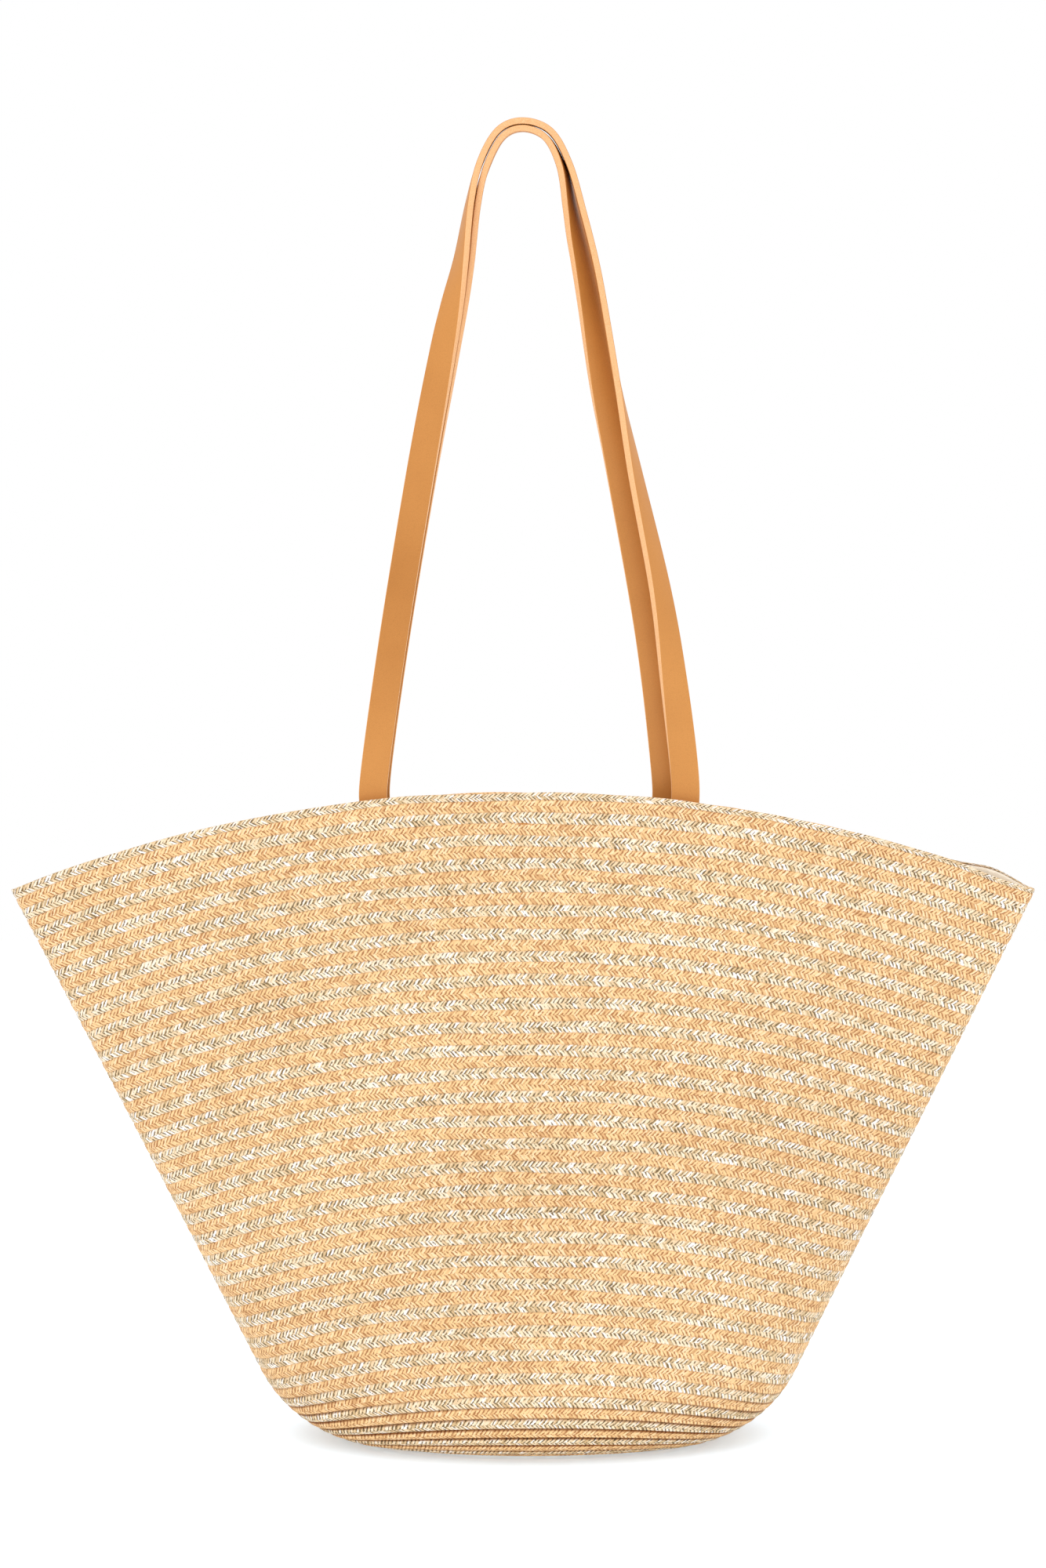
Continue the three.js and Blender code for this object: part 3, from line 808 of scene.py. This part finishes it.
def make_strap(side, face, loop):
    """One strip of leather, from its left sewn end over the loop to its right sewn end."""
    left = sewn_end(face, loop[0][0])
    right = sewn_end(face, loop[-1][0])[::-1]
    middle = []
    for x, z, twist in loop:
        apart = min(max((CLOSE_HEIGHT - z) / (CLOSE_HEIGHT - FOLD_HEIGHT), 0), 1)
        middle.append((x, face * STRAP_DEPTH * apart**CLOSE_POWER, z, math.radians(twist)))
    path = through(left + middle + right, STRAP_SAMPLES)
    centre, twist = path[:, :3], path[:, 3:]
    along = np.gradient(centre, axis=0)
    along /= np.linalg.norm(along, axis=1, keepdims=True)
    away = np.stack([-along[:, 2], 0 * along[:, 0], along[:, 0]], axis=1)
    away /= np.linalg.norm(away, axis=1, keepdims=True)
    outward = np.array([[0, -1.0, 0]]) * np.cos(twist) + away * np.sin(twist)
    outward += along * along[:, 1:2] * np.cos(twist)
    outward /= np.linalg.norm(outward, axis=1, keepdims=True)
    width = np.cross(along, outward)

    section, edges = strap_section()
    gone = distance_along(centre)
    points = np.stack([centre + width * w + outward * d for w, d in section], axis=1)
    uv = np.stack(np.broadcast_arrays(gone[:, None], np.array(edges)[None, :]), axis=-1)
    faces = grid_faces(len(centre), len(section), ring_across=True)
    count = len(section)
    last = (len(centre) - 1) * count
    piece = mesh_object(f"{side}_leather_strap", points.reshape(-1, 3), faces, uv.reshape(-1, 2))
    close_ends(piece, [list(range(count)), [last + k for k in range(count)]])
    finish_piece(piece, LEATHER, body=None)
    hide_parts(f"{side}_strap", f"{side}_left_strap_end", f"{side}_right_strap_end")
    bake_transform(piece)


def close_ends(obj, rings):
    """Fills open rings of vertices, and turns every face outwards."""
    mesh = bmesh.new()
    mesh.from_mesh(obj.data)
    mesh.verts.ensure_lookup_table()
    for ring in rings:
        mesh.faces.new([mesh.verts[i] for i in ring])
    bmesh.ops.recalc_face_normals(mesh, faces=mesh.faces)
    mesh.to_mesh(obj.data)
    mesh.free()


# ---- magnetic snap ----

LATHE_SIDES = 64


def lathe(name, profile, node, material):
    """Turns a profile of radius and share of depth about the middle of a CAD node's box."""
    low, high = (np.array(corner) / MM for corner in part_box(node))
    inward = 1 if low[1] + high[1] < 0 else -1
    start = low[1] if inward > 0 else high[1]
    depth = high[1] - low[1]
    turn = np.linspace(0, TURN, LATHE_SIDES, endpoint=False)
    rings = []
    for radius, share in profile:
        x = (low[0] + high[0]) / 2 + radius * np.cos(turn)
        z = (low[2] + high[2]) / 2 + radius * np.sin(turn)
        y = np.full(LATHE_SIDES, start + inward * depth * share)
        rings.append(np.stack([x, y, z], axis=-1))
    points = np.concatenate(rings)
    uv = np.stack([points[:, 0], 0 * points[:, 0]], axis=-1)
    faces = grid_faces(len(profile), LATHE_SIDES, ring_across=True)
    piece = mesh_object(name, points, faces, uv)
    last = (len(profile) - 1) * LATHE_SIDES
    close_ends(piece, [list(range(LATHE_SIDES)), [last + k for k in range(LATHE_SIDES)]])
    finish_piece(piece, material)
    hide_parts(node)


def make_snap():
    patch = [
        (0.6, 0.0),
        (11.0, 0.0),
        (11.4, 0.3),
        (11.4, 0.7),
        (11.0, 1.0),
        (9.6, 0.95),
        (0.6, 1.0),
    ]
    for side in ("front", "back"):
        lathe(f"{side}_leather_patch", patch, f"{side}_snap_patch", LEATHER)
    socket = [
        (3.1, 0.1),
        (8.6, 0.0),
        (9.0, 0.2),
        (9.0, 0.7),
        (8.5, 0.95),
        (7.2, 1.0),
        (6.4, 0.86),
        (4.6, 0.86),
        (3.9, 1.0),
        (3.3, 0.92),
        (3.1, 0.6),
    ]
    lathe("gold_snap_socket", socket, "snap_socket", GOLD)
    stud = [
        (0.8, 0.0),
        (8.7, 0.0),
        (9.0, 0.1),
        (9.0, 0.36),
        (8.5, 0.47),
        (6.6, 0.5),
        (3.0, 0.46),
        (2.6, 0.54),
        (2.6, 0.92),
        (2.2, 1.0),
        (0.5, 1.0),
    ]
    lathe("gold_snap_stud", stud, "snap_stud", GOLD)


# ---- floor, lights and camera ----

FLOOR_HALF = 1700.0
FLOOR_DROP = 0.4  # keeps the floor clear of the base
BAG_MIDDLE = (0, 0, 0.25)


def make_stage():
    signs = [(-1, -1), (1, -1), (1, 1), (-1, 1)]
    corners = [(x * FLOOR_HALF, y * FLOOR_HALF, -FLOOR_DROP) for x, y in signs]
    floor = mesh_object("floor", corners, np.array([[0, 1, 2, 3]]))
    floor.data.materials.append(floor_paint())


def aim(obj, target):
    """Turns a light or camera towards a point; places here are in metres."""
    obj.rotation_euler = (Vector(target) - obj.location).to_track_quat("-Z", "Y").to_euler()


def add_light(name, place, size, power):
    data = bpy.data.lights.new(name, "AREA")
    data.shape = "RECTANGLE"
    data.size, data.size_y = size
    data.energy = power
    light = bpy.data.objects.new(name, data)
    bpy.context.scene.collection.objects.link(light)
    light.location = place
    aim(light, BAG_MIDDLE)


def make_lights():
    add_light("key", place=(-1.3, -2.0, 1.9), size=(2.0, 2.0), power=9)
    add_light("fill", place=(1.6, -2.2, 1.0), size=(2.0, 2.0), power=5)
    add_light("top", place=(0, -0.3, 2.6), size=(3.2, 3.0), power=26)
    world = bpy.data.worlds.new("white_studio")
    world.use_nodes = True
    background = world.node_tree.nodes["Background"]
    background.inputs["Color"].default_value = rgb(1, 1, 1)
    background.inputs["Strength"].default_value = 1.0
    bpy.context.scene.world = world


def make_camera():
    data = bpy.data.cameras.new("camera")
    data.lens = 95.4
    data.sensor_width = 36
    camera = bpy.data.objects.new("camera", data)
    bpy.context.scene.collection.objects.link(camera)
    camera.location = (0, -2.2, 0.62)
    aim(camera, (0, 0, 0.355))
    bpy.context.scene.camera = camera
    bpy.context.scene.view_settings.view_transform = "Standard"


COTTON = cotton()
LEATHER = leather()
THREAD = thread()
GOLD = gold()

make_camera()
make_stage()
make_lights()
make_braids()
make_lining()
make_pocket()
make_seam()
for side, face, loop in (("front", -1, FRONT_LOOP), ("back", 1, BACK_LOOP)):
    make_strap(side, face, loop)
    for hand in ("left", "right"):
        make_strap_stitching(side, hand)
make_snap()
